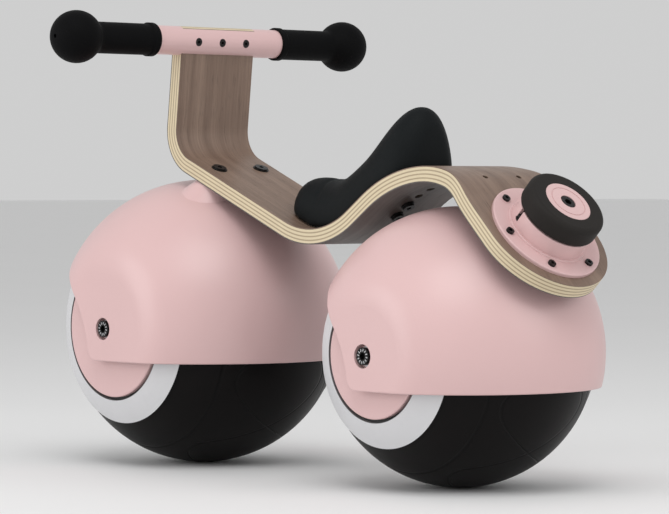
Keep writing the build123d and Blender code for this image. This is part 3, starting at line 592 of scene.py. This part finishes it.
class RIDEON_OT_balls(RideOnOperator, bpy.types.Operator):
    """Finish the balls: tyres, half balls and hub discs"""

    bl_idname = "rideon.balls"
    bl_label = "Balls"

    def execute(self, context):
        look = self.finish_settings
        disc = painted_shell("disc_pink", look.pink, 0.40, 1.3)
        dress(disc, *both("hub_disc_left", "hub_disc_right"))
        # the black rubber darkened further: painted shade for the gap behind each hub disc
        gap_shade = tinted(look.rubber, 0.7)
        waves_round = 4.0
        well_gap = 0.0026
        for end, axle, wave in (("front", FRONT_AXLE, 0.044), ("rear", REAR_AXLE, 0.040)):
            tyre = ball_tyre(end + "_tyre_rubber", look.rubber, axle, wave, waves_round)
            dress(tyre, end + "_tyre")
            low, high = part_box(end + "_hub_disc_left")
            bore = (high.x - low.x) / 2 + well_gap
            shell = half_ball(end + "_ring_shell", look.ring, gap_shade, axle, bore)
            dress(shell, end + "_half_ball_left", end + "_half_ball_right")
        steel = bright_metal("bearing_steel", look.steel, 0.22)
        dress(steel, *both("bearing_outer_rings", "bearing_inner_rings", "axle", "axle_spacers"))
        return {"FINISHED"}


class RIDEON_OT_handlebar(RideOnOperator, bpy.types.Operator):
    """Finish the handlebar tube and its rubber grips"""

    bl_idname = "rideon.handlebar"
    bl_label = "Handlebar"

    def execute(self, context):
        look = self.finish_settings
        dress(painted_shell("bar_paint", look.pink, 0.30, 0.5), "handlebar_tube")
        dress(soft_rubber("grip_rubber", look.grip, 1600.0, 0.07), "left_grip", "right_grip")
        return {"FINISHED"}


class RIDEON_OT_steering(RideOnOperator, bpy.types.Operator):
    """Finish the swivel housing, the knob and the lock key"""

    bl_idname = "rideon.steering"
    bl_label = "Steering unit"

    def execute(self, context):
        look = self.finish_settings
        dress(painted_shell("housing_pink", look.pink, 0.36, 0.8), "steering_housing", "knob_hub")
        dress(soft_rubber("knob_rubber", look.knob, 1100.0, 0.18), "knob_tyre")
        plastic = painted_shell("black_nylon", look.grip, 0.42, 1.4)
        dress(
            plastic,
            "steering_lock_key",
            "housing_clamp_ring",
            "lower_steering_bush",
            "upper_steering_bush",
            "thrust_washer",
            "saddle_base",
        )
        steel = bright_metal("spindle_steel", look.steel, 0.26)
        dress(steel, "steering_spindle", "steering_stop_pin")
        return {"FINISHED"}


class RIDEON_OT_fasteners(RideOnOperator, bpy.types.Operator):
    """Finish every screw, bolt, washer and insert"""

    bl_idname = "rideon.fasteners"
    bl_label = "Fasteners"

    def execute(self, context):
        look = self.finish_settings
        black = black_screw("black_oxide", look.screw)
        dress(
            black,
            "handlebar_screws",
            "housing_screws",
            "spindle_screws",
            "saddle_bolts",
            "saddle_washers",
            "knob_bolt",
            "knob_washer",
            "frame_bolts",
            "frame_washers",
            *both("half_ball_screws"),
        )
        for end, axle in (("front", FRONT_AXLE), ("rear", REAR_AXLE)):
            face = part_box(end + "_axle_bolts")[1].y
            bolt = toothed_screw(end + "_toothed_bolt", look.screw, look.steel, axle, face)
            dress(bolt, end + "_axle_bolts")
        plated = bright_metal("zinc_plate", look.steel, 0.3)
        dress(
            plated,
            "handlebar_barrel_nuts",
            "front_shroud_inserts",
            "saddle_inserts",
            *both("axle_washers"),
        )
        return {"FINISHED"}


class RIDEON_OT_saddle(RideOnOperator, bpy.types.Operator):
    """Build the padded foam saddle on its base"""

    bl_idname = "rideon.saddle"
    bl_label = "Saddle"

    def execute(self, context):
        sizes = context.scene.ride_on_saddle
        low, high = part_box("saddle")
        mesh = NODES["saddle"].data.copy()
        mesh.name = "saddle_foam"
        material = foam_skin("saddle_foam_skin", self.finish_settings.foam)
        piece = mesh_piece("saddle_foam", mesh, material, "frame")
        remesh = piece.modifiers.new("cells", "REMESH")
        remesh.mode = "VOXEL"
        remesh.voxel_size = sizes.voxel
        smooth = piece.modifiers.new("soften", "SMOOTH")
        smooth.factor = 0.5
        smooth.iterations = sizes.smoothing
        apply_modifiers(piece)
        least_vertices = 1000
        if len(piece.data.vertices) < least_vertices:
            raise RuntimeError("the saddle's foam came out empty")
        self.press_crease(piece.data, low, high, sizes.crease)
        rounder = piece.modifiers.new("round", "SUBSURF")
        rounder.levels = 1
        rounder.render_levels = 1
        apply_modifiers(piece)
        for face in piece.data.polygons:
            face.use_smooth = True
        give_material(piece, material)
        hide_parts("saddle")
        return {"FINISHED"}

    def press_crease(self, mesh, low, high, depth):
        """A soft fold across the foam where the nose meets the back."""
        fold_place = 0.30
        fold_bow = 0.006
        half_width = 0.004
        facing_up = 0.2
        fold_x = high.x - fold_place * (high.x - low.x)
        for vertex in mesh.vertices:
            across = vertex.co.y / (high.y - low.y) * 2
            bowed = fold_x + fold_bow * (1 - across * across)
            near = max(0.0, 1 - ((vertex.co.x - bowed) / half_width) ** 2)
            if vertex.normal.z > facing_up:
                vertex.co.z -= depth * near * near


class RIDEON_OT_stage(RideOnOperator, bpy.types.Operator):
    """Build the floor, the lights and the camera"""

    bl_idname = "rideon.stage"
    bl_label = "Stage"

    def execute(self, context):
        stage = context.scene.ride_on_stage
        self.floor(context)
        self.world(context)
        aim = Vector((0.0062, -0.0047, 0.1675))
        lamps = (
            ("key_light", (-0.9, 0.9, 2.0), 1.3, 1.0),
            ("side_light", (-1.9, -0.6, 1.0), 1.1, 0.30),
            ("fill_light", (0.9, 2.0, 0.8), 1.4, 0.75),
        )
        for name, place, size, share in lamps:
            self.lamp(context, name, place, aim, size, stage.key * share)
        self.camera(context, stage, aim)
        return {"FINISHED"}

    def floor(self, context):
        """A wide floor under the balls."""
        half_size = 40.0
        mesh = bpy.data.meshes.new("floor")
        shape = bmesh.new()
        bmesh.ops.create_grid(shape, x_segments=8, y_segments=8, size=half_size)
        shape.to_mesh(mesh)
        shape.free()
        floor = bpy.data.objects.new("floor", mesh)
        floor.data.materials.append(plain_floor("floor_paper", (0.84, 0.84, 0.84, 1.0)))
        context.scene.collection.objects.link(floor)

    def world(self, context):
        """An even pale surround."""
        strength = 0.62
        world = bpy.data.worlds.new("surround")
        world.use_nodes = True
        background = world.node_tree.nodes["Background"]
        background.inputs["Color"].default_value = (1.0, 1.0, 1.0, 1.0)
        background.inputs["Strength"].default_value = strength
        context.scene.world = world
        context.scene.view_settings.view_transform = "Standard"

    def lamp(self, context, name, place, aim, size, power):
        """A square soft light that faces the ride-on."""
        light = bpy.data.lights.new(name, "AREA")
        light.size = size
        light.energy = power
        lamp = bpy.data.objects.new(name, light)
        lamp.location = place
        lamp.rotation_mode = "QUATERNION"
        lamp.rotation_quaternion = (aim - Vector(place)).to_track_quat("-Z", "Y")
        context.scene.collection.objects.link(lamp)

    def camera(self, context, stage, aim):
        """A long lens, low down, from behind and to the left."""
        turn = math.radians(stage.azimuth)
        rise = math.radians(stage.elevation)
        back = Vector(
            (math.sin(turn) * math.cos(rise), -math.cos(turn) * math.cos(rise), math.sin(rise))
        )
        lens = bpy.data.cameras.new("camera")
        lens.lens = stage.lens
        lens.clip_end = 100.0
        camera = bpy.data.objects.new("camera", lens)
        camera.location = aim + back * stage.distance
        camera.rotation_mode = "QUATERNION"
        camera.rotation_quaternion = (-back).to_track_quat("-Z", "Y")
        context.scene.collection.objects.link(camera)
        context.scene.camera = camera


OPERATORS = (
    RIDEON_OT_beam,
    RIDEON_OT_shrouds,
    RIDEON_OT_balls,
    RIDEON_OT_handlebar,
    RIDEON_OT_steering,
    RIDEON_OT_fasteners,
    RIDEON_OT_saddle,
    RIDEON_OT_stage,
)
SETTINGS = (
    ("ride_on_finish", RideOnFinish),
    ("ride_on_saddle", RideOnSaddle),
    ("ride_on_stage", RideOnStage),
)


class RIDEON_PT_panel(bpy.types.Panel):
    """Lists the ride-on's pieces in the sidebar"""

    bl_idname = "RIDEON_PT_panel"
    bl_label = "Ride-on"
    bl_space_type = "VIEW_3D"
    bl_region_type = "UI"
    bl_category = "Ride-on"

    def draw(self, context):
        for operator in OPERATORS:
            self.layout.operator(operator.bl_idname)
        for name, group in SETTINGS:
            box = self.layout.box()
            settings = getattr(context.scene, name)
            for key in group.__annotations__:
                box.prop(settings, key)


def register():
    for name, group in SETTINGS:
        bpy.utils.register_class(group)
        setattr(bpy.types.Scene, name, bpy.props.PointerProperty(type=group))
    for made in (*OPERATORS, RIDEON_PT_panel):
        bpy.utils.register_class(made)


def unregister():
    for made in reversed((*OPERATORS, RIDEON_PT_panel)):
        bpy.utils.unregister_class(made)
    for name, group in reversed(SETTINGS):
        delattr(bpy.types.Scene, name)
        bpy.utils.unregister_class(group)


def main():
    register()
    for operator in OPERATORS:
        group, action = operator.bl_idname.split(".")
        getattr(getattr(bpy.ops, group), action)()


if __name__ == "__main__":
    main()
